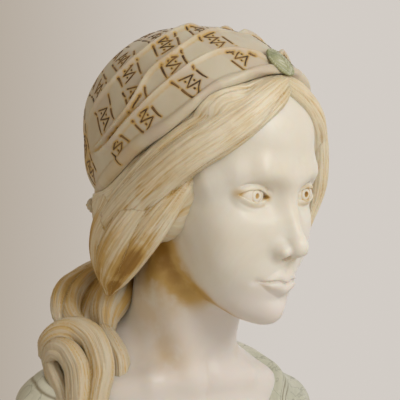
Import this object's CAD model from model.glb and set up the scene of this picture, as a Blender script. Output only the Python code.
"""Marble bust of a young woman in a headscarf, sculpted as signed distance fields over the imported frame.

Forms are measured in millimetres, in two frames: the bust's own frame, and the head's frame, which is a
life-size head with its origin between the ear canals, the face towards -Y and the sitter's left at +X.
"""

import math
from concurrent.futures import ThreadPoolExecutor

import bmesh
import bpy
import numpy as np
from mathutils import Euler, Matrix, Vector
from mathutils.bvhtree import BVHTree
from mathutils.kdtree import KDTree


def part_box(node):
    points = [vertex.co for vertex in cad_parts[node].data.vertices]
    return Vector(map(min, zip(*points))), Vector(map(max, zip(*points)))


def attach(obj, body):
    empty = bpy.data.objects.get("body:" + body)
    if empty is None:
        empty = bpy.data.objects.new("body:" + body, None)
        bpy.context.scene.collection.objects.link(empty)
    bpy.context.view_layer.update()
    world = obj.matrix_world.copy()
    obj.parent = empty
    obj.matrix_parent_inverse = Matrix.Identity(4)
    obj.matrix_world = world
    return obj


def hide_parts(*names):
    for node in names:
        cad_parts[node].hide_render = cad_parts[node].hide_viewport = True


# ---- frames
HEAD_SHARE = 0.92
HEAD_AT = np.array([6.0, -30.0, 432.0])
HEAD_YAW = 20.0
HEAD_PITCH = 8.0
HEAD_TURN = np.array(Euler((math.radians(HEAD_PITCH), 0, math.radians(HEAD_YAW))).to_matrix())

WORKERS = ThreadPoolExecutor(4)


def to_bust(p):
    """From the head's millimetres to the bust's."""
    return np.asarray(p) @ (HEAD_TURN.T * HEAD_SHARE) + HEAD_AT


# ---- fields
def size(v):
    return np.sqrt((v * v).sum(-1))


def ease(t):
    t = np.clip(t, 0, 1)
    return t * t * (3 - 2 * t)


def bell(x, width):
    return np.exp(-((x / width) ** 2))


def hump(t):
    """1 at t = 0, falling smoothly to 0 where t is -1 or 1."""
    t = np.clip(t, -1, 1)
    return (1 - t * t) ** 2


def join(a, b, k):
    """The smaller of two distances, with a fillet of about k."""
    h = np.clip(0.5 + 0.5 * (b - a) / k, 0, 1)
    return b * (1 - h) + a * h - k * h * (1 - h)


def carve(a, b, k):
    """The larger of two distances, with a rounded edge of about k."""
    return -join(-a, -b, k)


def turned(rx=0, ry=0, rz=0):
    angles = [math.radians(a) for a in (rx, ry, rz)]
    return np.array(Euler(angles).to_matrix(), np.float32)


def on_side(p, side):
    """Points with both halves brought to one side: -1 is the sitter's right."""
    return np.column_stack([side * np.abs(p[:, 0]), p[:, 1:]])


def egg(p, centre, radii, turn=None):
    q = p - np.asarray(centre, np.float32)
    if turn is not None:
        q = q @ turn
    radii = np.asarray(radii, np.float32)
    near = size(q / radii)
    return near * (near - 1) / (size(q / (radii * radii)) + 1e-9)


def rod(p, a, b, ra, rb):
    a, b = np.asarray(a, np.float32), np.asarray(b, np.float32)
    line = b - a
    h = np.clip(((p - a) @ line) / (line @ line), 0, 1)
    return size(p - a - h[:, None] * line) - (ra + (rb - ra) * h)


def join_eggs(d, p, masses, side=1):
    """Adds eggs given as (centre, radii, fillet), the centre's x turned to that side."""
    for (x, y, z), radii, k in masses:
        d = join(d, egg(p, (side * x, y, z), radii), k)
    return d


def chain(p, beads, k):
    """Rods through beads (x, y, z, radius)."""
    d = rod(p, beads[0][:3], beads[1][:3], beads[0][3], beads[1][3])
    for a, b in zip(beads[1:], beads[2:]):
        d = join(d, rod(p, a[:3], b[:3], a[3], b[3]), k)
    return d


def folded(p):
    """x as a distance from the middle plane, rounded so that no crease shows there."""
    q = p.copy()
    q[:, 0] = np.sqrt(p[:, 0] ** 2 + 0.25)
    return q


# ---- meshing
def polygonise(field, low, high, voxel, block=8):
    """A quad mesh of the field's zero surface, worked out only in blocks that the surface can cross."""
    low, high = np.asarray(low, np.float32), np.asarray(high, np.float32)
    counts = np.ceil((high - low) / (voxel * block)).astype(int)
    axes = [low[a] + (np.arange(counts[a]) + 0.5) * block * voxel for a in range(3)]
    centres = np.stack(np.meshgrid(*axes, indexing="ij"), -1).reshape(-1, 3).astype(np.float32)
    coarse = evaluate(field, centres).reshape(counts)
    values = coarse.repeat(block, 0).repeat(block, 1).repeat(block, 2)
    offsets = np.stack(np.meshgrid(*[np.arange(block)] * 3, indexing="ij"), -1).reshape(-1, 3)
    near = np.argwhere(np.abs(coarse) < 1.35 * block * voxel)

    def fill(part):
        at = (part[:, None, :] * block + offsets).reshape(-1, 3)
        values[at[:, 0], at[:, 1], at[:, 2]] = field(low + at.astype(np.float32) * voxel)

    list(WORKERS.map(fill, np.array_split(near, max(1, len(near) // 12))))
    for axis in range(3):
        for end in (0, -1):
            face = [slice(None)] * 3
            face[axis] = end
            values[tuple(face)] = np.maximum(values[tuple(face)], 0.001)
    return surface_nets(values, low, voxel)


def surface_nets(values, low, voxel):
    inside = values < 0
    size_minus = np.array(values.shape) - 1
    corners = np.array([(i, j, k) for i in (0, 1) for j in (0, 1) for k in (0, 1)])
    views = [inside[tuple(slice(c[a], size_minus[a] + c[a]) for a in range(3))] for c in corners]
    some, every = views[0].copy(), views[0].copy()
    for view in views[1:]:
        some |= view
        every &= view
    cells = np.argwhere(some & ~every)
    number = np.full(size_minus, -1, np.int32)
    number[tuple(cells.T)] = np.arange(len(cells))
    total, hits = np.zeros((len(cells), 3)), np.zeros(len(cells))
    for a in range(8):
        for b in range(a + 1, 8):
            if np.abs(corners[a] - corners[b]).sum() != 1:
                continue
            va, vb = values[tuple((cells + corners[a]).T)], values[tuple((cells + corners[b]).T)]
            crossed = (va < 0) != (vb < 0)
            t = np.where(crossed, va / np.where(crossed, va - vb, 1), 0)
            total += np.where(crossed[:, None], corners[a] + t[:, None] * (corners[b] - corners[a]), 0)
            hits += crossed
    points = low + (cells + total / hits[:, None]) * voxel
    quads = []
    for axis in range(3):
        u, w = (axis + 1) % 3, (axis + 2) % 3
        first, second = [slice(1, -1)] * 3, [slice(1, -1)] * 3
        first[axis], second[axis] = slice(0, -1), slice(1, None)
        a, b = inside[tuple(first)], inside[tuple(second)]
        for crossing, reverse in ((a & ~b, False), (~a & b, True)):
            edges = np.argwhere(crossing)
            edges[:, u] += 1
            edges[:, w] += 1
            ring = []
            for du, dw in ((1, 1), (0, 1), (0, 0), (1, 0)):
                cell = edges.copy()
                cell[:, u] -= du
                cell[:, w] -= dw
                ring.append(number[tuple(cell.T)])
            quad = np.stack(ring, 1)
            quads.append(quad[:, ::-1] if reverse else quad)
    return points.astype(np.float32), np.concatenate(quads)


def evaluate(field, points, chunk=30000):
    parts = [points[i : i + chunk] for i in range(0, len(points), chunk)]
    return np.concatenate(list(WORKERS.map(field, parts)))


TETRAHEDRON = np.array([(1, -1, -1), (-1, -1, 1), (-1, 1, -1), (1, 1, 1)], np.float32)


def settle(field, points, steps=2, reach=0.25):
    """Moves points onto the field's zero surface."""

    def move(p):
        p = p.copy()
        for _ in range(steps):
            slope = sum(t * field(p + t * reach)[:, None] for t in TETRAHEDRON) / (4 * reach)
            shift = np.clip(field(p) / np.maximum((slope * slope).sum(-1), 0.15), -1, 1)
            p -= (shift[:, None] * slope).astype(np.float32)
        return p

    return evaluate(move, points)


def mesh_of(name, points, faces):
    mesh = bpy.data.meshes.new(name)
    mesh.from_pydata(points.tolist(), [], faces if isinstance(faces, list) else faces.tolist())
    return mesh


def numbers(collection, field, width, kind=np.float32):
    out = np.empty(len(collection) * width, kind)
    collection.foreach_get(field, out)
    return out.reshape(-1, width) if width > 1 else out


def points_of(mesh):
    return numbers(mesh.vertices, "co", 3)


def move_points(mesh, points):
    mesh.vertices.foreach_set("co", np.asarray(points, np.float32).ravel())
    mesh.update()


def normals_of(mesh):
    return numbers(mesh.vertex_normals, "vector", 3)


def raise_surface(mesh, height):
    move_points(mesh, points_of(mesh) + normals_of(mesh) * height[:, None])


def relaxed(mesh, data, steps):
    """Values at a mesh's points, averaged with their neighbours a number of times."""
    edges = numbers(mesh.edges, "vertices", 2, np.int32)
    a, b = np.concatenate([edges[:, 0], edges[:, 1]]), np.concatenate([edges[:, 1], edges[:, 0]])
    count = np.maximum(np.bincount(a, minlength=len(data)), 1)
    data = data.reshape(len(data), -1)
    for _ in range(steps):
        sums = [np.bincount(a, data[b, axis], len(data)) / count for axis in range(data.shape[1])]
        data = 0.5 * data + 0.5 * np.stack(sums, 1)
    return data


def hollows(mesh, steps):
    """How far each point lies below its surroundings, in millimetres."""
    points = points_of(mesh)
    return ((relaxed(mesh, points, steps) - points) * normals_of(mesh)).sum(-1)


def refine(mesh, chosen):
    """Cuts in four the faces whose centres are chosen."""
    work = bmesh.new()
    work.from_mesh(mesh)
    centres = np.array([face.calc_center_median() for face in work.faces])
    edges = {edge for face, take in zip(work.faces, chosen(centres)) if take for edge in face.edges}
    bmesh.ops.subdivide_edges(work, edges=list(edges), cuts=1, use_grid_fill=True)
    work.to_mesh(mesh)
    work.free()


def sculpted(name, field, low, high, voxel, finer=()):
    """A mesh of the field's surface, with finer regions."""
    mesh = mesh_of(name, *polygonise(field, low, high, voxel))
    for chosen in finer:
        refine(mesh, chosen)
    move_points(mesh, settle(field, points_of(mesh)))
    return mesh


# ---- hair locks
def smooth_line(beads, steps=5):
    """A Catmull-Rom curve through beads of any width."""
    beads = np.asarray(beads, float)
    ends = np.vstack([2 * beads[0] - beads[1], beads, 2 * beads[-1] - beads[-2]])
    out = []
    for i in range(1, len(ends) - 2):
        for t in np.arange(steps) / steps:
            a, b, c, d = ends[i - 1 : i + 3]
            bend, twist = 2 * a - 5 * b + 4 * c - d, 3 * b - a - 3 * c + d
            out.append(0.5 * (2 * b + (c - a) * t + bend * t**2 + twist * t**3))
    out.append(beads[-1])
    return np.array(out, np.float32)


def smooth_path(points, steps=10):
    return smooth_line(np.asarray(points, float), steps).astype(float)


class Lock:
    """A tapering flattened tube along a curve, its broad side turned away from a point."""

    def __init__(self, beads, flat, facing, seed):
        curve = smooth_line(beads)
        self.at, self.width = curve[:, :3], np.maximum(curve[:, 3], 0.4)
        self.flat, self.seed = flat, seed
        tangent = np.gradient(self.at, axis=0)
        self.tangent = tangent / size(tangent)[:, None]
        out = self.at - np.asarray(facing, np.float32)
        out -= (out * self.tangent).sum(-1)[:, None] * self.tangent
        self.out = out / size(out)[:, None]
        self.side = np.cross(self.tangent, self.out)
        self.run = np.concatenate([[0], np.cumsum(size(np.diff(self.at, axis=0)))]).astype(np.float32)
        self.low = (self.at - self.width[:, None]).min(0)
        self.high = (self.at + self.width[:, None]).max(0)

    def measure(self, p):
        """(distance, angle round the lock, millimetres along it) at each point."""
        best, share = np.full(len(p), 1e9, np.float32), np.zeros(len(p), np.float32)
        which = np.zeros(len(p), int)
        middle = p.mean(0)
        reach = size(p - middle).max() if len(p) < 20000 else 1e9
        gaps = size(self.at - middle)
        keep = np.minimum(gaps[:-1], gaps[1:]) < gaps.min() + 2 * reach + 12
        for i in np.flatnonzero(keep):
            line = self.at[i + 1] - self.at[i]
            h = np.clip(((p - self.at[i]) @ line) / (line @ line), 0, 1)
            far = size(p - self.at[i] - h[:, None] * line)
            closer = far < best
            best[closer], which[closer], share[closer] = far[closer], i, h[closer]

        def follow(rows):
            return rows[which] + (rows[which + 1] - rows[which]) * (share[:, None] if rows.ndim > 1 else share)

        offset = p - follow(self.at)
        out, side, width = follow(self.out), follow(self.side), follow(self.width)
        o, s = (offset * out).sum(-1) / self.flat, (offset * side).sum(-1)
        along = (offset * follow(self.tangent)).sum(-1)
        far = np.sqrt(o * o + s * s + along * along)
        return (far - width) * self.flat, np.arctan2(o, s), follow(self.run)

    def __call__(self, p):
        low, high = p.min(0), p.max(0)
        gap = size(np.maximum(0, np.maximum(self.low - high, low - self.high)))
        if gap > 5:
            return np.full(len(p), gap, np.float32)
        return self.measure(p)[0]


def relief(angle, run, seed):
    """Height of the carved strands round a lock, in millimetres."""
    rng = np.random.default_rng(seed)
    height = np.zeros(len(angle))
    for turns, depth in ((4, 0.5), (9, 0.36), (19, 0.32), (33, 0.2)):
        phase, pace, sway = rng.uniform(0, 6.28), rng.uniform(0.025, 0.05), rng.uniform(0.6, 1.3)
        drift = sway * np.sin(run * pace + phase * 2) + 0.5 * np.sin(run * pace * 2.7)
        wave = np.sin(turns * angle + phase + drift)
        height += depth * (0.7 - 1.4 * (0.5 - 0.5 * wave) ** 1.7)
    return height


def locks_field(locks, base, k, room=None):
    def field(p):
        d = base(p)
        for lock in locks:
            d = join(d, lock(p), k)
        return d if room is None else carve(d, room(p), 0.8)

    return field


def under_scarf(p):
    return 0.6 - scarf_form(p)


# ---- face
EYE = np.array([31.5, -74.0, 0.0], np.float32)


SKULL = [((0, 14, 30), (74, 77, 79), 14), ((0, -38, 50), (54, 54, 48), 12), ((0, -38, -18), (59, 53, 58), 12),
         ((0, -46, -48), (44, 46, 52), 14), ((0, -60, -32), (34, 36, 36), 12)]
CHEEKS_AND_CHIN = [((0, -79, -93), (14, 15, 14), 14), ((34, -58, -28), (22, 23, 21), 18),
                   ((30, -57, -50), (22, 24, 24), 14), ((0, -74, -66), (25, 20, 21), 14)]
BROW = [(0, -87.5, 14, 6.5), (12, -86, 17, 7), (28, -81.5, 19, 7.5), (43, -69, 17.5, 7.5), (54, -52, 8, 8)]


def head_form(p):
    """Head, neck and chest, in the head's frame."""
    q = folded(p)
    d = egg(q, (0, -18, 24), (65, 77, 74))
    d = join_eggs(d, q, SKULL)
    d = join(d, rod(q, (37, -14, -54), (12, -66, -87), 12, 16), 18)
    d = join_eggs(d, q, CHEEKS_AND_CHIN)
    d = join(d, chain(q, BROW, 5), 16)
    d = carve(d, -egg(q, (29, -97, -1), (19, 15.5, 11.5), turned(0, 0, 16)), 12)
    d = join(d, nose(q), 8)
    d = carve(d, -egg(q, (6.4, -100.5, -48.5), (2.6, 5.0, 3.2), turned(-10, 0, 12)), 1.6)
    d = eyes(q, d)
    d = lips(q, d)
    d = join(d, neck_form(to_bust(p).astype(np.float32)) / HEAD_SHARE, 12)
    return carve(d, -below_rim(p) - 14, 2)


def below_rim(p):
    """Millimetres below the scarf's rim, measured square to it."""
    return ((np.interp(p[:, 1], RIM_PROFILE[:, 0], RIM_PROFILE[:, 1]) - p[:, 2]) * 0.75).astype(np.float32)


def nose(q):
    d = rod(q, (0, -85.5, 6), (0, -103.5, -34), 5.6, 6.8)
    d = join(d, rod(q, (0, -80, 0), (0, -90, -38), 9, 13), 7)
    d = join(d, egg(q, (0, -105.5, -38), (8.6, 8.6, 8.6)), 5)
    d = join(d, egg(q, (10, -97, -41.5), (6.4, 9.5, 6.2), turned(8, 0, 16)), 4)
    return join(d, rod(q, (0, -102, -44), (0, -92, -47), 4.4, 4.6), 3)


def eyes(q, d):
    e = q - EYE
    x, y, z = e.T
    front = y < 0
    t = np.abs(x - 0.3) / 15
    level = z - 0.07 * x
    upper = 5.7 * np.clip(1 - t**2.1, 0, 1) ** 0.85
    lower = -4.2 * np.clip(1 - t**2.3, 0, 1) ** 0.9
    opening = np.maximum(np.maximum(level - upper, lower - level), (t - 1) * 12)
    opening = np.where(front, opening, 20)
    lids = join(d, egg(e, (0, 1, 0), (16, 12.7, 13.6)), 4)
    within = ease((17 - np.abs(x)) / 6) * front
    crease = level - 10.4 * np.clip(1 - (np.abs(x - 1) / 22) ** 2, 0, 1)
    lids = lids + within * (1.3 * bell(crease, 1.5) + 0.5 * bell(level + 9.5 - 0.02 * x * x, 1.6))
    lids = carve(lids, -opening, 0.8)
    ball = egg(e, (0, 1.2, 0), (15.6, 11.1, 12))
    iris = np.sqrt((x + 0.2) ** 2 + (z - 0.6) ** 2)
    ball = ball + front * (0.5 * bell(iris - 5.4, 0.6) + 1.8 * ease(2.4 - iris))
    return join(lids, ball, 0.4)


LIP_HALF = 22.5


def lip_line(x):
    t = np.clip(x / LIP_HALF, 0, 1)
    return -68.5 - 1.2 * bell(x, 4) + 0.8 * bell(x - 9, 6) - 0.6 * t**3


def lips(q, d):
    x, y, z = q.T
    t = np.clip(x / LIP_HALF, 0, 1)
    line = lip_line(x)
    top = np.maximum(7.8 * (1 - t**1.7) - 1.3 * bell(x, 3.6), 0.6)
    bottom = np.maximum(9.4 * (1 - t**2.2), 0.6)
    inside = ease((LIP_HALF + 1 - x) / 8)
    upper = 3.0 * hump(((z - line) / top - 0.4) / 1.2) * inside * (1 - 0.5 * t)
    lower = 3.9 * hump((line - z) / bottom - 0.5) * inside * (1 - 0.6 * t * t)
    cuts = 1.8 * bell(z - line, 1.2) * ease((LIP_HALF + 1.5 - x) / 5)
    cuts += 0.9 * bell(x, 3) * ease((z + 62) / 5) * ease((-47 - z) / 5)
    cuts += 1.3 * bell(np.hypot(x - LIP_HALF - 1, z - line), 3.6)
    cuts += 1.3 * bell(z + 84, 5) * bell(x, 15)
    return d - ease((-60 - y) / 12) * (np.where(z > line, upper, lower) - cuts)


# Per side, the muscle's height beside the neck and at the shoulder.
SHOULDERS = {-1: (316, 260), 1: (296, 244)}


def neck_form(w):
    """Neck, shoulders and chest, in the bust's frame."""
    q = folded(w)
    skull_base = to_bust((0, 6, -50))
    d = chain(w, [(*skull_base, 41), (1, -10, 345, 40), (0, 2, 302, 44)], 14)
    d = join_eggs(d, w, [((0, 10, 256), (86, 52, 44), 22), ((0, 2, 216), (74, 56, 50), 16)])
    for side, (inner, outer) in SHOULDERS.items():
        d = join(d, rod(w, (side * 14, 26, inner), (side * 94, 22, outer), 22, 23), 20)
        behind_ear = to_bust((side * 46, 8, -44))
        d = join(d, rod(w, behind_ear, (side * 9, -34, 282), 7, 4), 16)
    d = join(d, egg(q, (38, -24, 206), (40, 40, 40)), 20)
    d = join(d, chain(q, [(9, -36, 279, 3), (42, -31, 278, 3), (80, 0, 266, 3)], 5), 20)
    return d + 1.3 * bell(size(w - np.array([0, -50, 283])), 12)


# ---- headscarf
SCARF_CENTRE = np.array([0, 11, 38])
SCARF_RADII = np.array([90, 108, 90])
RIM = [(0, -69, 100), (-19, -65, 98), (-43, -60, 90), (-61, -50, 80), (-76, -40, 63), (-85, -25, 45),
       (-89, -3, 28), (-86, 18, 10), (-74, 46, -12), (-54, 72, -30), (-28, 90, -40), (0, 96, -43)]
GATHER = (-60, 80, 12)
FOLDS = [  # each runs from the middle of the scarf's front or crown to the gather behind the ear
    [(0, -62, 106), (-20, -46, 112), (-42, -33, 109), (-74, -17, 84), (-89, 6, 52), (-85, 37, 22), GATHER],
    [(-2, -14, 128), (-20, -9, 126), (-39, -8, 118), (-61, -4, 104), (-75, 5, 88), (-85, 9, 67),
     (-89, 20, 48), (-82, 44, 26), GATHER],
    [(-8, 14, 127), (-30, 17, 122), (-55, 23, 108), (-71, 34, 88), (-78, 52, 61), (-73, 68, 36), GATHER],
    [(-4, 56, 116), (-26, 60, 108), (-46, 70, 86), (-55, 82, 56), (-56, 86, 30), GATHER],
    [(-4, 90, 88), (-20, 94, 74), (-34, 96, 50), (-46, 92, 26), (-54, 86, 14)],
]


def nearest_on(p, line):
    """(signed distance to a polyline, share along it); the distance is positive above, away from the rim."""
    best = np.full(len(p), 1e9)
    signed, along = np.zeros(len(p)), np.zeros(len(p))
    for i in range(len(line) - 1):
        a, b = line[i], line[i + 1]
        ab = b - a
        h = np.clip(((p - a) @ ab) / (ab @ ab), 0, 1)
        offset = p - a - h[:, None] * ab
        far = size(offset)
        out = a + h[:, None] * ab - SCARF_CENTRE
        upward = np.cross(out / size(out)[:, None], ab / size(ab))
        closer = far < best
        best = np.where(closer, far, best)
        signed = np.where(closer, np.sign((offset * upward).sum(-1)), signed)
        along = np.where(closer, (i + h) / (len(line) - 1), along)
    return best * signed, along


RIM_PROFILE = smooth_path([p[1:] for p in RIM], 6)


def mirrored(line):
    return [(-p[0], *p[1:]) for p in line]


def scarf_shell(p):
    return join(egg(p, SCARF_CENTRE, SCARF_RADII), egg(p, (0, 26, 6), (80, 88, 54)), 8)


def scarf_form(p):
    shell = scarf_shell(p)
    below = below_rim(p)
    rolled = np.hypot(shell + 1.4, below + 2.6) - 4.6
    return join(carve(shell, below, 3), rolled, 2)


def scarf_relief(p):
    """Height of the folds over the smooth scarf, in millimetres."""
    q = on_side(p.astype(float), -1)
    height = np.zeros(len(q))
    gathered = ease((size(q - np.array(GATHER)) - 4) / 44)
    tight = 0.35 + 0.65 * gathered
    for fold in FOLDS:
        side, along = nearest_on(q, smooth_line(fold, 4))
        ends = ease(along / 0.12) * (0.35 + 0.65 * ease((1 - along) / 0.2))
        step = np.where(side > 0, np.exp(-np.abs(side) / 13), np.exp(-np.abs(side) / 0.8))
        ridge = 2.9 * bell(side - 1.2, 2.3 * tight) - 1.3 * bell(side + 3.2, 1.5)
        height += ends * (2.2 * step * gathered + ridge)
    height *= 0.3 + 0.7 * gathered
    side, _ = nearest_on(q, smooth_line(RIM, 4))
    height += -1.1 * bell(side - 6.5, 1.8) + 0.5 * bell(side - 12, 5)
    return height


# ---- hair
HEAD_MIDDLE = (0, 12, 0)
CROWN_WAVE = [(-4, -67, 89, 9), (-28, -66, 78, 13), (-53, -56, 59, 15), (-71, -36, 37, 16), (-78, -13, 12, 16),
              (-75, 14, -14, 15), (-65, 38, -35, 15), (-49, 58, -48, 14)]
FRONT_WAVE = [(-3, -73, 91, 7), (-20, -75, 82, 11), (-42, -72, 66, 14), (-62, -60, 47, 15), (-76, -41, 27, 15),
              (-82, -18, 4, 15), (-80, 6, -18, 15), (-73, 30, -40, 15), (-60, 52, -54, 12)]
HAIRLINE = [(-2, -77, 86, 5), (-16, -81, 77, 7), (-36, -77, 61, 8.5), (-55, -65, 42, 9), (-68, -48, 24, 8),
            (-76, -31, 7, 8), (-79, -12, -8, 8), (-78, 6, -21, 7)]
PUFF = [
    [(-66, -34, 0, 8), (-72, -24, -18, 11), (-74, -10, -38, 13), (-73, 4, -56, 13), (-69, 18, -72, 12),
     (-65, 29, -87, 8), (-64, 35, -98, 3)],
    [(-75, -8, -14, 12), (-78, 4, -32, 14.5), (-78, 17, -52, 15.5), (-74, 29, -70, 14),
     (-69, 37, -86, 9), (-65, 38, -99, 3.5)],
    [(-70, 32, -26, 13), (-71, 41, -44, 14.5), (-70, 45, -60, 14), (-67, 47, -76, 11.5),
     (-65, 44, -90, 7), (-64, 40, -99, 3)],
]
NAPE = {
    -1: [[(-2, 80, -44, 10), (-20, 82, -52, 12), (-38, 72, -60, 13), (-48, 58, -70, 12), (-50, 48, -80, 6)],
         [(-2, 70, -58, 9), (-16, 72, -66, 10), (-30, 66, -74, 11), (-42, 56, -82, 9), (-48, 48, -88, 4)]],
    1: [[(60, 44, -36, 9), (44, 66, -44, 12), (22, 80, -50, 12), (2, 82, -54, 11)],
        [(56, 40, -52, 9), (40, 60, -60, 11), (20, 70, -64, 11), (2, 73, -68, 9)]],
}
LEFT_PUFF = [
    [(44, -72, 66, 8), (60, -66, 48, 11), (72, -60, 28, 12), (79, -56, 8, 12), (81, -53, -10, 10),
     (77, -53, -26, 6.5),
     (73, -54, -40, 3), (71, -55, -50, 1)],
    [(76, -34, 8, 13), (78, -24, -16, 14), (79, -10, -38, 15), (77, 6, -58, 15), (71, 22, -74, 12),
     (66, 32, -88, 6), (64, 35, -94, 2)],
    [(76, 24, -14, 15), (80, 28, -38, 17), (77, 36, -58, 16), (70, 42, -74, 12), (65, 40, -88, 5)],
]


def hair_locks(side):
    """The locks on one side of the head: -1 is the sitter's right."""
    shared = [CROWN_WAVE, FRONT_WAVE, HAIRLINE]
    lines = shared + PUFF if side < 0 else [mirrored(line) for line in shared] + LEFT_PUFF
    lines = lines + NAPE[side]
    flats = (0.62, 0.62, 0.6, 0.7, 0.75, 0.7, 0.75, 0.8)
    return [Lock(*pair, HEAD_MIDDLE, 31 * n + 5 + side) for n, pair in enumerate(zip(lines, flats))]


UNDER_HAIR = [((48, 36, -28), (29, 38, 40), 8), ((24, 50, -44), (34, 36, 24), 10),
              ((30, -38, 64), (40, 40, 28), 8)]


def hair_base(side):
    def field(p):
        d = join_eggs(egg(p, (side * 50, 10, 8), (32, 58, 60)), p, UNDER_HAIR, side)
        return carve(d, -side * p[:, 0] + 1.0, 2)

    return field


TAIL_FACING = (0, 20, 300)
RIGHT = (math.cos(math.radians(28)), math.sin(math.radians(28)))


def seen(beads):
    """Beads given as (millimetres across an oblique view, depth, height, width), in the bust's frame."""
    return [((across + RIGHT[1] * depth) / RIGHT[0], depth, *rest) for across, depth, *rest in beads]


TAIL = [
    [(-57, 62, 364, 7.3), (-68, 58, 358, 10.5), (-80, 52, 350, 12.4), (-88, 44, 341, 13.1),
     (-90, 36, 331, 12.2), (-86, 28, 321, 10.2),
     (-75, 18, 312, 7.8), (-66, 10, 303, 4.7)],
    [(-66, 56, 361, 5.6), (-79, 50, 356, 6.4), (-91, 42, 349, 6.7), (-96, 34, 340, 6.3),
     (-97, 26, 330, 5), (-95, 20, 322, 3.1)],
    [(-44, 36, 360, 10), (-48, 28, 350, 13.5), (-53, 20, 340, 16), (-58, 14, 330, 14.5),
     (-59, 10, 321, 10.5), (-57, 7, 312, 5.6),
     (-54, 5, 304, 1.5)],
    [(-107, 22, 297, 3.1), (-104, 18, 308, 6.1), (-94, 12, 316, 8.4), (-81, 5, 317, 10),
     (-69, -3, 311, 11.1), (-63, -9, 300, 11.4),
     (-61, -13, 287, 11), (-63, -16, 275, 10.2), (-65, -19, 263, 9.1), (-68, -22, 249, 6.8),
     (-71, -24, 233, 1.5)],
    [(-103, 16, 293, 4.6), (-97, 8, 302, 8), (-87, 0, 301, 9.9), (-80, -6, 291, 10.6),
     (-78, -11, 280, 10.6), (-78, -15, 268, 9.8),
     (-79, -19, 254, 7.5), (-80, -22, 238, 1.9)],
    [(-104, 26, 305, 3.1), (-102, 18, 295, 5.4), (-98, 10, 284, 6.9), (-92, 2, 271, 7.6),
     (-87, -6, 258, 7.2), (-83, -14, 243, 3.8),
     (-80, -18, 232, 1.1)],
    [(-65, 12, 326, 3.1), (-60, 6, 316, 6.2), (-54, 0, 305, 8.5), (-49, -5, 293, 9.6),
     (-48, -9, 279, 9.6), (-47, -13, 266, 9.2),
     (-49, -17, 253, 7.6), (-53, -22, 236, 3), (-56, -24, 226, 1.1)],
    [(-44, 64, 368, 9), (-56, 54, 355, 11), (-67, 44, 339, 12.8), (-74, 34, 321, 14.2),
     (-76, 24, 304, 15.6), (-75, 12, 287, 16.2),
     (-72, 2, 270, 14.6), (-71, -8, 253, 9.9), (-71, -16, 239, 3.8)],
]


def tail_locks():
    return [Lock(seen(line), 0.85, TAIL_FACING, 57 * n + 3) for n, line in enumerate(TAIL)]


def nothing(p):
    return np.full(len(p), 40.0, np.float32)


# ---- dress
BUST_BASE = 111.7
# Degrees from the front, and the neckline's height there.
NECKLINE = np.array([(0, 190), (28, 203), (46, 223), (62, 246), (78, 272), (96, 292), (112, 299),
                     (141, 303), (180, 304)])


def neckline_drop(w):
    """Millimetres below the neckline, measured on the cloth."""
    angle = np.degrees(np.arctan2(np.abs(w[:, 0]), -(w[:, 1] - 4)))
    return (np.interp(angle, NECKLINE[:, 0], NECKLINE[:, 1]) - w[:, 2]) * 0.78


def bodice_form(w):
    q = folded(w)
    d = egg(w, (0, 14, 228), (110, 64, 58))
    d = join_eggs(d, w, [((0, 6, 190), (102, 70, 62), 16), ((0, 4, 150), (64, 54, 54), 20)])
    for side, (inner, outer) in SHOULDERS.items():
        d = join(d, rod(w, (side * 30, 24, inner - 34), (side * 101, 24, outer - 8), 24, 30), 18)
    d = join(d, egg(q, (42, -34, 202), (43, 38, 42)), 14)
    d = join(d, rod(q, (0, 30, 276), (0, 34, 220), 34, 48), 18)
    d = join(d, neck_form(w) - 3.4, 8)
    d = carve(d, -neckline_drop(w).astype(np.float32), 1.6)
    return carve(d, BUST_BASE - w[:, 2], 2)


# ---- knot and brooch
KNOT_ENDS = [
    [(4, 98, -40, 9), (-14, 98, -56, 11), (-21, 88, -76, 11), (-24, 74, -94, 9), (-27, 66, -108, 2)],
    [(-4, 98, -40, 9), (13, 98, -58, 10), (18, 86, -80, 10), (19, 70, -100, 8), (21, 62, -114, 2)],
]


def knot_locks():
    wrap = [(-12, 96, -26, 8), (-8, 106, -34, 10), (4, 108, -42, 10), (12, 98, -50, 8)]
    band = [(-40, 92, -36, 6), (-20, 100, -36, 8), (0, 103, -38, 10), (20, 100, -36, 8), (40, 92, -36, 6)]
    lines, flats = KNOT_ENDS + [wrap, band], (0.45, 0.45, 0.7, 0.7)
    return [Lock(*pair, HEAD_MIDDLE, 91 * n + 8) for n, pair in enumerate(zip(lines, flats))]


BROOCH_AT = np.array([3.0, -62.5, 105.0])
BROOCH_HALF = (11.5, 15.0)


def brooch_frame():
    """Columns: along the rim, up the crown, and out of the scarf."""
    out = (BROOCH_AT - SCARF_CENTRE) / SCARF_RADII**2
    out /= size(out)
    up = np.array([0.0, 0.7, 0.6])
    along = np.cross(up, out)
    along /= size(along)
    return np.column_stack([along, np.cross(out, along), out])


def brooch_form(p):
    """An oval leaf boss in a roped rim, in its own frame."""
    x, y, z = p.T
    wide, high = BROOCH_HALF
    oval = np.hypot(x / wide, y / high)
    d = egg(p, (0, 0, 0), (wide - 1.2, high - 1.2, 4.6))
    rope = 1.25 + 0.2 * np.sin(34 * np.arctan2(y / high, x / wide))
    rim = np.hypot((oval - 0.93) * 12.5, z - 0.6) - rope
    d = join(d, rim, 0.6)
    inside = ease((0.86 - oval) / 0.2)
    rib = bell(x - 0.6 * np.sin(y / 5), 0.5)
    veins = bell(np.mod(np.abs(x) * 0.9 - y + 40, 4.4) - 2.2, 0.5) * ease((np.abs(x) - 0.5) / 0.8)
    d = d + inside * (0.9 * rib + 0.7 * veins)
    return carve(d, -z - 3.5, 0.5)


# ---- dress detail
GROOVES = (3.6, 7.4, 12.0)


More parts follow.
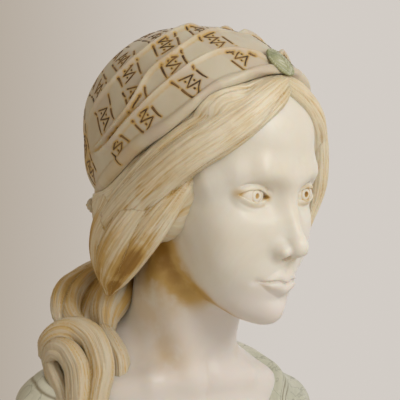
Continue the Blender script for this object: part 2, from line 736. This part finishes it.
def bodice_relief(w):
    drop = neckline_drop(w)
    x, y, z = np.abs(w[:, 0]), w[:, 1], w[:, 2]
    height = 0.9 * bell(drop - 1.6, 1.6) * (drop > -3)
    for groove in GROOVES:
        height -= 0.8 * bell(drop - groove, 0.8)
    height += 0.5 * ease(drop / 2) * ease((13.5 - drop) / 1.5)
    below = ease((drop - 14) / 10)
    angle = np.arctan2(w[:, 0], -(y - 10)) + 0.003 * w[:, 0]
    spread = angle * (1.0 + 0.0022 * (z - 190))
    waver = 0.35 * np.sin(z / 23) + 0.2 * np.sin(z / 9.5 + 3 * angle)
    folds = 1.9 * np.abs(np.sin(7.5 * spread + waver)) ** 0.8
    folds += 1.1 * np.abs(np.sin(16 * spread + 2.3 * waver + 1)) ** 0.9
    folds += 0.5 * np.sin(31 * spread + 3 * waver)
    height += below * (folds - 1.6) * ease((z - BUST_BASE - 4) / 16)
    for level in (BUST_BASE + 3, BUST_BASE + 9):
        height += 0.7 * bell(z - level, 1.8)
    return height


# ---- painted marks
BANDS = [
    [(-22, -60, 101), (-28, -50, 106), (-32, -21, 119), (-20, 11, 128), (-10, 44, 122), (-4, 70, 108)],
    [(-60, -48, 79), (-67, -34, 84), (-67, -12, 96), (-49, 19, 114), (-30, 52, 112), (-14, 80, 92)],
    [(-85, -20, 43), (-87, -8, 52), (-86, 6, 64), (-74, 31, 87), (-50, 60, 92), (-28, 86, 76)],
    [(-88, 6, 20), (-88, 20, 28), (-86, 36, 41), (-78, 50, 58), (-58, 72, 68), (-36, 92, 58)],
    [(-72, 52, -10), (-67, 66, 4), (-62, 78, 22), (-50, 88, 42), (-32, 100, 44)],
]
BAND_HALF = 10.0
PATCH = 25.0
PATCH_GAP = 3.0


def marks_in_patch(rng, length):
    """A zigzag, dots and two borders, each stroke a list of (along the band, across it, half width)."""
    strokes = []
    for edge in (-1, 1):
        at = edge * BAND_HALF
        cut = length * rng.uniform(0.45, 0.75)
        for a, b in ((rng.uniform(0, 2), cut - 1.5), (cut + 1.0, length - rng.uniform(0, 2))):
            if b - a < 3 or rng.random() < 0.12:
                continue
            lean = rng.uniform(-0.8, 0.8)
            strokes.append([(a, at + lean, 0.35), (a + 0.3 * (b - a), at + rng.uniform(-0.4, 0.4), 0.75),
                            (b - 1.2, at - lean, rng.uniform(0.6, 1.15)), (b, at - lean, 0.5)])
    reach = BAND_HALF - 4.4
    corners = [(along, reach * (-1) ** k) for k, along in enumerate(np.arange(1.5, length - 1, 4.6))]
    for (a, b), (c, d) in zip(corners, corners[1:]):
        middle = ((a + c) / 2 + rng.uniform(-0.4, 0.4), (b + d) / 2)
        strokes.append([(a, b, 0.45), (*middle, rng.uniform(0.5, 0.75)), (c, d, rng.uniform(0.45, 0.7))])
    for a, b in corners[1:-1]:
        r = rng.uniform(0.65, 1.0)
        strokes.append([(a - r, -0.5 * b, 0.45), (a, -0.5 * b, r), (a + r, -0.5 * b, 0.4)])
    return strokes


def painted_strokes(surface):
    """Points, outward normals and half widths of every stroke on the scarf."""
    rng = np.random.default_rng(20)
    found = []
    for side in (-1, 1):
        for band in BANDS:
            path = smooth_path([(-side * x, y, z) for x, y, z in band])
            run = np.concatenate([[0], np.cumsum(size(np.diff(path, axis=0)))])
            start = 6.0
            while start + PATCH * 0.7 < run[-1]:
                length = min(PATCH * rng.uniform(0.85, 1.1), run[-1] - start)
                for stroke in marks_in_patch(rng, length):
                    dense = smooth_path(stroke, 5)
                    found.append(laid_on(surface, path, run, start, dense))
                start += length + PATCH_GAP
    return found


def laid_on(surface, path, run, start, stroke):
    out = []
    for along, across, half in stroke:
        s = np.clip(start + along, 0, run[-1] - 0.01)
        at = np.array([np.interp(s, run, path[:, a]) for a in range(3)])
        ahead = np.array([np.interp(min(s + 1, run[-1]), run, path[:, a]) for a in range(3)]) - at
        up = (at - SCARF_CENTRE) / SCARF_RADII**2
        side = np.cross(up, ahead)
        side /= size(side)
        place, normal, _, _ = surface.find_nearest(Vector(at + across * side))
        out.append((*place, *normal, half))
    return np.array(out)


RIBBON = np.array([(1, -0.5), (0.75, 0.1), (0, 0.22), (-0.75, 0.1), (-1, -0.5), (0, -0.9)])


def ribbon_mesh(strokes):
    points, faces = [], []
    for stroke in strokes:
        at, normal, half = stroke[:, :3], stroke[:, 3:6], 1.2 * stroke[:, 6]
        ahead = np.gradient(at, axis=0)
        side = np.cross(normal, ahead)
        side /= np.maximum(size(side), 1e-6)[:, None]
        first = len(points)
        for n in range(len(at)):
            for across, up in RIBBON:
                points.append(at[n] + side[n] * across * half[n] + normal[n] * up)
        ring = len(RIBBON)
        for n in range(len(at) - 1):
            for k in range(ring):
                a, b = first + n * ring + k, first + n * ring + (k + 1) % ring
                faces.append((a, b, b + ring, a + ring))
        faces.append(tuple(first + k for k in reversed(range(ring))))
        faces.append(tuple(first + (len(at) - 1) * ring + k for k in range(ring)))
    return np.array(points), faces


# ---- looks
AMBER = (0.56, 0.37, 0.115)
DEEP_AMBER = (0.34, 0.18, 0.03)


def add_node(tree, kind, inputs=(), **settings):
    node = tree.nodes.new(kind)
    for key, value in settings.items():
        setattr(node, key, value)
    for key, value in dict(inputs).items():
        if isinstance(value, bpy.types.NodeSocket):
            tree.links.new(value, node.inputs[key])
        else:
            node.inputs[key].default_value = value
    return node


class Look:
    """A node material built round its Principled shader."""

    def __init__(self, name, roughness, **sockets):
        self.material = bpy.data.materials.new(name)
        self.material.use_nodes = True
        self.tree = self.material.node_tree
        self.shader = self.tree.nodes["Principled BSDF"]
        self.shader.inputs["Roughness"].default_value = roughness
        for socket, value in sockets.items():
            self.shader.inputs[socket.replace("_", " ")].default_value = value
        self.place = self.add("ShaderNodeTexCoord").outputs["Object"]

    def add(self, kind, inputs=(), **settings):
        return add_node(self.tree, kind, inputs, **settings)

    def noise(self, scale, detail=3.0, vector=None, roughness=0.5, distortion=0.0):
        inputs = {"Vector": vector or self.place, "Scale": scale, "Detail": detail, "Roughness": roughness,
                  "Distortion": distortion}
        return self.add("ShaderNodeTexNoise", inputs).outputs["Fac"]

    def ramp(self, value, low, high, to_low=0.0, to_high=1.0):
        inputs = {0: value, 1: low, 2: high, 3: to_low, 4: to_high}
        return self.add("ShaderNodeMapRange", inputs, interpolation_type="SMOOTHSTEP").outputs[0]

    def maths(self, operation, a, b):
        return self.add("ShaderNodeMath", {0: a, 1: b}, operation=operation).outputs[0]

    def mix(self, share, a, b):
        a, b = (c if isinstance(c, bpy.types.NodeSocket) else (*c, 1) for c in (a, b))
        return self.add("ShaderNodeMix", {0: share, 6: a, 7: b}, data_type="RGBA").outputs[2]

    def painted(self, name):
        return self.add("ShaderNodeAttribute", attribute_name=name).outputs

    def veins(self, scale, width, distortion=1.6):
        ridge = self.maths("SUBTRACT", self.noise(scale, 5.0, distortion=distortion), 0.5)
        return self.ramp(self.maths("ABSOLUTE", ridge, 0.0), 0.0, width, 1.0, 0.0)

    def veined(self, ground, share, colour, *veins):
        return self.mix(self.maths("MULTIPLY", self.veins(*veins), share), ground, colour)

    def colour(self, value):
        self.tree.links.new(value, self.shader.inputs["Base Color"])

    def worn(self, scale, low, high):
        """Roughness that varies from place to place."""
        value = self.ramp(self.noise(scale, 3.0), 0.3, 0.7, low, high)
        self.tree.links.new(value, self.shader.inputs["Roughness"])

    def bump(self, height, distance, strength=1.0):
        node = self.add("ShaderNodeBump", {"Height": height, "Distance": distance, "Strength": strength})
        self.tree.links.new(node.outputs[0], self.shader.inputs["Normal"])


def alabaster(name, pale, warm, roughness=0.4, strands=False, tint=None, vein=0.22):
    """Translucent stone, cloudy, with amber wax in its hollows and a second tone where "ground" is painted."""
    look = Look(name, roughness, Subsurface_Weight=0.35, Subsurface_Radius=(1.0, 0.62, 0.34),
                Subsurface_Scale=0.007, IOR=1.45, Coat_Weight=0.05, Coat_Roughness=0.3)
    stain = look.painted("stain")["Fac"]
    cloud = look.ramp(look.noise(16, 4.0, distortion=0.5), 0.38, 0.66)
    ground = look.mix(cloud, pale, warm)
    ground = look.veined(ground, vein, (0.62, 0.53, 0.40), 9, 0.02)
    if tint:
        ground = look.mix(look.painted("ground")["Fac"], ground, tint)
    patchy = look.maths("MULTIPLY", stain, look.ramp(look.noise(60, 4.0), 0.25, 0.62, 0.55, 1.15))
    if strands:
        strand = look.painted("strand")["Vector"]
        wide, fine = look.noise(0.6, 2.0, vector=strand), look.noise(1.5, 1.0, vector=strand)
        both = look.maths("ADD", look.maths("MULTIPLY", wide, 0.6), look.maths("MULTIPLY", fine, 0.4))
        drift = look.noise(0.16, 2.0, vector=strand)
        patchy = look.maths("MULTIPLY", patchy, look.ramp(drift, 0.34, 0.66, 0.35, 1.9))
        patchy = look.maths("ADD", patchy, look.ramp(both, 0.36, 0.62, 0.2, -0.12))
    stained = look.mix(look.ramp(patchy, 0.0, 0.75), ground, AMBER)
    look.colour(look.mix(look.ramp(patchy, 0.62, 1.5), stained, DEEP_AMBER))
    look.worn(70, roughness - 0.05, roughness + 0.1)
    if strands:
        look.bump(both, 0.0011, 0.8)
    else:
        look.bump(look.noise(900, 2.0), 0.00006, 0.5)
    return look.material


def green_marble(name, pale, dark, roughness=0.32):
    look = Look(name, roughness, Subsurface_Weight=0.12, Subsurface_Radius=(0.8, 0.8, 0.5),
                Subsurface_Scale=0.004, Coat_Weight=0.15, Coat_Roughness=0.15)
    cloud = look.ramp(look.noise(20, 6.0, distortion=1.2), 0.36, 0.66)
    ground = look.mix(cloud, pale, dark)
    ground = look.veined(ground, 0.55, (0.60, 0.60, 0.50), 13, 0.03, 2.4)
    ground = look.veined(ground, 0.4, (0.16, 0.17, 0.12), 31, 0.022, 1.4)
    stain = look.painted("stain")["Fac"]
    look.colour(look.mix(look.ramp(stain, 0.05, 1.1, 0.0, 0.8), ground, (0.20, 0.16, 0.08)))
    look.worn(50, roughness - 0.06, roughness + 0.12)
    look.bump(look.noise(700, 2.0), 0.00008, 0.5)
    return look.material


def stained_line(name):
    look = Look(name, 0.5)
    shade = look.ramp(look.noise(130, 3.0), 0.34, 0.62)
    look.colour(look.mix(shade, (0.055, 0.028, 0.012), (0.20, 0.105, 0.03)))
    look.bump(look.noise(1500, 2.0), 0.0001, 0.6)
    return look.material


def metal(name, light, dark, roughness, grain):
    look = Look(name, roughness, Metallic=1.0)
    stretched = look.add("ShaderNodeMapping", {"Vector": look.place, "Scale": grain}).outputs[0]
    lines = look.noise(1.0, 4.0, vector=stretched)
    look.colour(look.mix(look.ramp(lines, 0.3, 0.7), light, dark))
    look.worn(90, roughness - 0.1, roughness + 0.15)
    look.bump(lines, 0.00005, 0.6)
    return look.material


def felt_look(name):
    look = Look(name, 0.95)
    fibres = look.noise(1400, 4.0)
    look.colour(look.mix(look.ramp(fibres, 0.3, 0.7), (0.035, 0.10, 0.055), (0.07, 0.16, 0.09)))
    look.bump(fibres, 0.0004, 0.8)
    return look.material


# ---- build
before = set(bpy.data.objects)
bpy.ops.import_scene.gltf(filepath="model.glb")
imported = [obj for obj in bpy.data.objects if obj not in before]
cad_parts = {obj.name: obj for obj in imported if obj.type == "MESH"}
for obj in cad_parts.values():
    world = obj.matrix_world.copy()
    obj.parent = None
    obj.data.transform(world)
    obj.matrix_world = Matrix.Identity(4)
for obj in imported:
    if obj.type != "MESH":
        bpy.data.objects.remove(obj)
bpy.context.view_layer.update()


def in_scene(name, data):
    made = bpy.data.objects.new(name, data)
    bpy.context.scene.collection.objects.link(made)
    return made


def placed(name, mesh, look, slot, *nodes, to_metres=None, **painted):
    """Makes a piece of a mesh in millimetres, with values at its points, in place of CAD nodes."""
    points = points_of(mesh)
    move_points(mesh, (points if to_metres is None else to_metres(points)) / 1000)
    for key, values in painted.items():
        kind, field = ("FLOAT_VECTOR", "vector") if np.ndim(values) == 2 else ("FLOAT", "value")
        mesh.attributes.new(key, kind, "POINT").data.foreach_set(field, np.float32(values).ravel())
    mesh.materials.append(look)
    mesh.shade_smooth()
    piece = in_scene(name, mesh)
    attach(piece, "root")
    if nodes:
        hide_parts(*nodes)
    return piece


# ---- head
FEATURES = [((31.5, -86, 1), (20, 14, 14)), ((7, -104, -42), (14, 18, 13)), ((10, -100, -68), (20, 16, 15))]


def on_face(c):
    x, y, z = np.abs(c[:, 0]), c[:, 1], c[:, 2]
    return (y < -18) & (z > -114) & (z < 96) & (x < 74)


def on_features(c):
    q = on_side(c, 1)
    return np.any([size((q - np.array(at)) / np.array(reach)) < 1 for at, reach in FEATURES], axis=0)


def distance_to(p, line):
    """To a curve and its mirror image."""
    q = on_side(p, -1)
    far = np.full(len(q), 1e9)
    path = smooth_path(line, 4)
    for a, b in zip(path, path[1:]):
        h = np.clip(((q - a) @ (b - a)) / ((b - a) @ (b - a)), 0, 1)
        far = np.minimum(far, size(q - a - h[:, None] * (b - a)))
    return far


def near_line(p, line, reach):
    return bell(distance_to(p, line), reach)


LINE_STAINS = [  # (strength, line, reach): under the jaw, behind the ear, down the neck, lips, lids
    (1.15, [(-64, -2, -34), (-58, -6, -58), (-48, -22, -82), (-30, -44, -100), (-8, -62, -110)], 10),
    (0.8, [(-66, -22, -22), (-66, -8, -48), (-56, 10, -76)], 13),
    (0.5, [(-58, -8, -60), (-44, -24, -88)], 20),
    (0.3, [(-40, 20, -90), (-34, 6, -120), (-30, -10, -150)], 22),
    (0.5, [(-14, -102, -68.5), (-1, -104, -69)], 1.7),
    (0.35, [(-44, -78, 3), (-36, -85, 7.5), (-24, -85, 7), (-18, -82, 2)], 2.2),
    (0.30, [(-44, -77, 0), (-34, -83, -7), (-22, -82, -7)], 2.4),
]
SPOT_STAINS = [  # (strength, place, reach): the corners of the mouth and of the eyes
    (0.6, (22.5, -93, -69.5), 3.4), (0.8, (17.5, -82, -1.5), 3.2), (0.4, (47, -75, 2), 4.5),
]


def head_stain(p, hollow):
    stain = 0.4 * ease(hollow / 1.2) + 0.02
    for strength, line, reach in LINE_STAINS:
        stain += strength * near_line(p, line, reach)
    q = folded(p.astype(np.float32))
    for strength, place, reach in SPOT_STAINS:
        stain += strength * bell(size(q - np.array(place)), reach)
    stain += 0.45 * bell(size((q - np.array([6, -100, -49])) / (1, 1, 0.9)), 5)
    iris = np.hypot(q[:, 0] - EYE[0] + 0.2, q[:, 2] - 0.6) + 30 * (q[:, 1] > -74)
    return stain + 1.1 * ease((2.9 - iris) / 1.2) + 0.4 * bell(iris - 5.4, 0.8)


head = sculpted("head", head_form, (-118, -125, -262), (118, 112, 112), 1.8, (on_face, on_features))
at_rest = points_of(head)
light_stone = alabaster("light_alabaster", (0.785, 0.765, 0.695), (0.745, 0.705, 0.61),
                        tint=(0.755, 0.715, 0.675), vein=0.05)
placed("head_bust", head, light_stone, "light_stone", "head_block", to_metres=to_bust,
       stain=head_stain(at_rest, hollows(head, 16)),
       ground=ease((-86 - at_rest[:, 2] - 0.4 * at_rest[:, 1]) / 40))

# ---- scarf
scarf = sculpted("scarf", scarf_form, (-97, -106, -60), (97, 126, 136), 2.05,
                 (lambda c: scarf_shell(c) > -7,))
raise_surface(scarf, scarf_relief(points_of(scarf)))
outside = BVHTree.FromPolygons([tuple(v) for v in points_of(scarf).tolist()],
                               [tuple(face.vertices) for face in scarf.polygons])
strokes = painted_strokes(outside)
samples = np.concatenate([stroke[:, :3] for stroke in strokes])
tree = KDTree(len(samples))
for index, sample in enumerate(samples):
    tree.insert(sample, index)
tree.balance()
surface = points_of(scarf).astype(float)
to_stroke = np.array([tree.find(point)[2] for point in surface.tolist()])
raise_surface(scarf, -0.25 * bell(to_stroke, 1.1))
fold_lines = np.zeros(len(surface))
mirrored_surface = on_side(surface, -1)
for fold in FOLDS:
    side, _ = nearest_on(mirrored_surface, smooth_line(fold, 4))
    fold_lines = np.maximum(fold_lines, bell(side + 2.6, 0.9) + 0.6 * bell(side - 4.4, 0.9))
band = np.zeros(len(surface))
for line in BANDS:
    band = np.maximum(band, ease((BAND_HALF + 2 - distance_to(surface, line)) / 3))
scarf_stain = (0.35 * ease(hollows(scarf, 10) / 0.5) + 0.42 * fold_lines + 0.9 * bell(to_stroke, 1.5)
               + bell(size(mirrored_surface - np.array(GATHER)), 20) + 0.3 * near_line(surface, RIM[6:], 9))
scarf_stone = alabaster("scarf_alabaster", (0.63, 0.58, 0.455), (0.56, 0.49, 0.36), 0.42,
                        tint=(0.57, 0.49, 0.39))
placed("headscarf_folds", scarf, scarf_stone, "scarf_stone", "headscarf", to_metres=to_bust,
       stain=scarf_stain, ground=0.75 * band)
line_look = stained_line("incised_lines")
placed("scarf_marks", mesh_of("marks", *ribbon_mesh(strokes)), line_look, "scarf_stone", to_metres=to_bust)

# ---- hair
def strand_coordinates(points, locks):
    """(relief, strand vector) of the lock nearest to each point."""
    chosen, height, strand = np.full(len(points), 1e9), np.zeros(len(points)), np.zeros((len(points), 3))
    for number, lock in enumerate(locks):
        distance, angle, run = lock.measure(points)
        closer = distance < chosen
        chosen = np.where(closer, distance, chosen)
        height = np.where(closer, relief(angle, run, lock.seed), height)
        fresh = np.column_stack([np.cos(angle) * 11, np.sin(angle) * 11, run * 0.05 + 9 * number])
        strand = np.where(closer[:, None], fresh, strand)
    return height, strand


def hair_piece(name, field, locks, box, look, slot, nodes, warmth, to_metres=None, voxel=1.05, shade=0.0):
    mesh = sculpted(name, field, *box, voxel)
    height, strand = strand_coordinates(points_of(mesh), locks)
    raise_surface(mesh, height)
    stain = 0.2 * ease(hollows(mesh, 3) / 0.3) + 0.32 * ease(hollows(mesh, 34) / 2.2) + warmth(points_of(mesh))
    return placed(name, mesh, look, slot, *nodes, to_metres=to_metres, stain=stain, strand=strand,
                  ground=np.full(len(stain), shade))


def side_warmth(p):
    low = 0.72 * ease((-p[:, 2] - 28) / 50)
    return 0.10 + low + 0.06 * bell(p[:, 2] + 0.55 * p[:, 1] + 12, 14)


hair_stone = alabaster("hair_alabaster", (0.78, 0.72, 0.57), (0.72, 0.63, 0.45), 0.42, strands=True,
                       tint=(0.55, 0.48, 0.35))
for side, name in ((-1, "right"), (1, "left")):
    locks, base = hair_locks(side), hair_base(side)
    box = ((-104, -100, -108), (2, 96, 104)) if side < 0 else ((-2, -100, -108), (104, 96, 104))
    hair_piece("hair_waves_" + name, locks_field(locks, base, 1.6, under_scarf), locks, box,
               hair_stone, "hair_stone", ("hair_" + name,), side_warmth, to_bust)


def tail_warmth(p):
    """Most at the arch under the nape, least on the breast of the crest."""
    return 0.10 + 0.35 * bell(p[:, 2] - 350, 22) + 0.12 * ease((250 - p[:, 2]) / 40)


tail = tail_locks()
hair_piece("hair_tail_locks", locks_field(tail, nothing, 1.4), tail, ((-165, -60, 185), (-10, 100, 400)),
           hair_stone, "hair_stone", ("hair_tail",), tail_warmth, voxel=1.0, shade=0.7)

# ---- knot and brooch
knot = knot_locks()
hair_piece("scarf_knot_folds", locks_field(knot, nothing, 1.2), knot, ((-50, 50, -124), (50, 124, -10)),
           scarf_stone, "scarf_stone", ("scarf_knot",), lambda p: 0.1 + 0 * p[:, 0], to_bust, 1.1)
boss = sculpted("boss", brooch_form, (-14, -17.5, -5), (14, 17.5, 8), 0.4)
leaf = green_marble("brooch_green", (0.42, 0.43, 0.25), (0.26, 0.29, 0.15), 0.4)
boss_frame = brooch_frame()
placed("brooch_leaf", boss, leaf, "brooch_stone", "brooch",
       to_metres=lambda p: to_bust((p + (0, 0, 1.5)) @ boss_frame.T + BROOCH_AT),
       stain=1.6 * ease(hollows(boss, 6) / 0.3))

# ---- dress
def near_neckline(c):
    drop = neckline_drop(c)
    return (drop > -2) & (drop < 15) & (c[:, 2] > 185)


dress = sculpted("dress", bodice_form, (-150, -95, 100), (150, 100, 340), 1.7, (near_neckline,))
flat = points_of(dress).astype(float)
raise_surface(dress, bodice_relief(flat))
drop = neckline_drop(flat)
lines = sum(bell(drop - groove, 0.9) for groove in GROOVES) * (flat[:, 2] > 185)
green = green_marble("dress_marble", (0.64, 0.64, 0.53), (0.50, 0.515, 0.41))
placed("bodice_drapery", dress, green, "green_marble", "bodice",
       stain=0.8 * ease(hollows(dress, 10) / 0.8) + 0.9 * lines)

# ---- stand
def moulding(*parts):
    """A turned outline, as (radius, height), of points and of arcs (centre, radii, first, last in degrees)."""
    outline = []
    for part in parts:
        if len(part) == 2:
            outline.append(part)
            continue
        (x, z), (wide, high), first, last = part
        sweep = np.radians(np.linspace(first, last, 14))
        outline += [(x + wide * math.cos(a), z + high * math.sin(a)) for a in sweep]
    return outline


def lathed(name, outline, look, slot, node, turns=160):
    """A turned piece whose faces run round the axis, with faint tool waves."""
    angles = np.linspace(0, 2 * math.pi, turns, endpoint=False)
    ring = len(outline)
    points = np.array([(r * math.cos(a), r * math.sin(a), z) for a in angles for r, z in outline])
    points[:, :2] += 0.06 * np.sin(1.89 * points[:, 1:2] + 1.4 * points[:, 2:])
    faces = []
    for i in range(turns):
        here, there = i * ring, (i + 1) % turns * ring
        faces += [(here + k, here + (k + 1) % ring, there + (k + 1) % ring, there + k) for k in range(ring)]
    mesh = mesh_of(name, points, faces)
    placed(name, mesh, look, slot, node, stain=ease(hollows(mesh, 6) / 0.7))
    mesh.set_sharp_from_angle(angle=math.radians(38))


foot, top = (1000 * corner.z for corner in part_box("socle"))
lathed("socle_moulding", moulding(
    (6.2, top), (48.5, top), ((49, top - 5.2), (5.5, 5), 90, -90), (46.2, top - 10.8), (46.2, top - 12.2),
    ((45.2, top - 14.2), (2, 1.8), 90, -90), ((58, foot + 39), (28.2, 20.5), 116, 240), (46.2, foot + 19.6),
    (47.8, foot + 19), (47.8, foot + 17.2), ((55.8, foot + 8.4), (8, 8.2), 96, -84), (55, foot),
    (6.2, foot)),
    green, "green_marble", "socle")
foot, top = (1000 * corner.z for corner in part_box("collar"))
lathed("collar_ring", moulding(
    (6.2, top), (40.2, top), (41, top - 0.6), (41, top - 1.4), ((41.4, (foot + top) / 2),
    (4.4, 3), 88, -88),
    (41, foot + 1.4), (41, foot + 0.6), (40.2, foot), (6.2, foot)), light_stone, "light_stone", "collar")

steel = metal("worn_steel", (0.45, 0.45, 0.46), (0.22, 0.20, 0.19), 0.45, (900, 900, 60))
lead = metal("cast_lead", (0.34, 0.35, 0.37), (0.20, 0.21, 0.23), 0.6, (300, 300, 300))
felt = felt_look("green_felt")
fastenings = ("tie_rod", "tie_nut", "tie_washer", "neck_dowel_left", "neck_dowel_right")
finishes = {"base_felt": felt, "plinth": green, "socle_dowel": lead, **dict.fromkeys(fastenings, steel)}
for node, finish in finishes.items():
    for material_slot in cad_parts[node].material_slots:
        material_slot.material = finish

# ---- camera and light
CAMERA_AZIMUTH = -28.0
CAMERA_HEIGHT = 2.0
CAMERA_FAR = 1.30
FRAME_WIDE = 0.31
AIM = (-0.0047, -0.0155)

azimuth, height = math.radians(CAMERA_AZIMUTH), math.radians(CAMERA_HEIGHT)
back = Vector((math.sin(azimuth) * math.cos(height), -math.cos(azimuth) * math.cos(height), math.sin(height)))
right = Vector((math.cos(azimuth), math.sin(azimuth), 0))
up = back.cross(right)
target = Vector(HEAD_AT) / 1000 + right * AIM[0] + up * AIM[1]
camera = in_scene("camera", bpy.data.cameras.new("camera"))
camera.data.lens = 36 * CAMERA_FAR / FRAME_WIDE
camera.data.clip_end = 20
camera.location = target + back * CAMERA_FAR
camera.rotation_euler = back.to_track_quat("Z", "Y").to_euler()
bpy.context.scene.camera = camera


def soft_light(name, across, above, towards, wide, power, colour):
    light = bpy.data.lights.new(name, "AREA")
    light.shape, light.size, light.energy, light.color = "DISK", wide, power, colour
    lamp = in_scene(name, light)
    lamp.location = target + right * across + Vector((0, 0, above)) + back * towards
    lamp.rotation_euler = (lamp.location - target).to_track_quat("Z", "Y").to_euler()


soft_light("key", 0.95, 0.6, 1.0, 0.7, 9, (1.0, 0.97, 0.93))
soft_light("fill", -0.9, 0.1, 1.2, 1.2, 1.5, (1.0, 0.94, 0.86))
soft_light("rim", -0.3, 1.0, -1.2, 0.9, 1.0, (1.0, 0.97, 0.93))
bpy.context.scene.view_settings.view_transform = "Standard"
world = bpy.data.worlds.new("room")
bpy.context.scene.world = world
world.use_nodes = True
room = world.node_tree
towards = add_node(room, "ShaderNodeTexCoord").outputs["Generated"]
bearing = add_node(room, "ShaderNodeVectorMath", {0: towards, 1: right}, operation="DOT_PRODUCT")
span = {0: bearing.outputs["Value"], 1: -0.26, 2: 0.06}
fade = add_node(room, "ShaderNodeMapRange", span, interpolation_type="SMOOTHSTEP")
tones = {0: fade.outputs[0], 6: (0.34, 0.275, 0.20, 1), 7: (0.645, 0.605, 0.565, 1)}
tone = add_node(room, "ShaderNodeMix", tones, data_type="RGBA")
room.links.new(tone.outputs[2], room.nodes["Background"].inputs["Color"])

floor_mesh = bpy.data.meshes.new("floor")
FLOOR_RADIUS, FLOOR_SIDES = 1.15, 96
turns = np.linspace(0, 2 * math.pi, FLOOR_SIDES, endpoint=False)
edge = [(FLOOR_RADIUS * math.cos(a), FLOOR_RADIUS * math.sin(a), -0.0005) for a in turns]
floor_mesh.from_pydata(edge, [], [tuple(range(FLOOR_SIDES))])
floor_look = Look("pale_floor", 0.7)
floor_look.colour(floor_look.mix(floor_look.noise(6, 3.0), (0.66, 0.63, 0.59), (0.70, 0.67, 0.63)))
floor_mesh.materials.append(floor_look.material)
floor = in_scene("floor", floor_mesh)
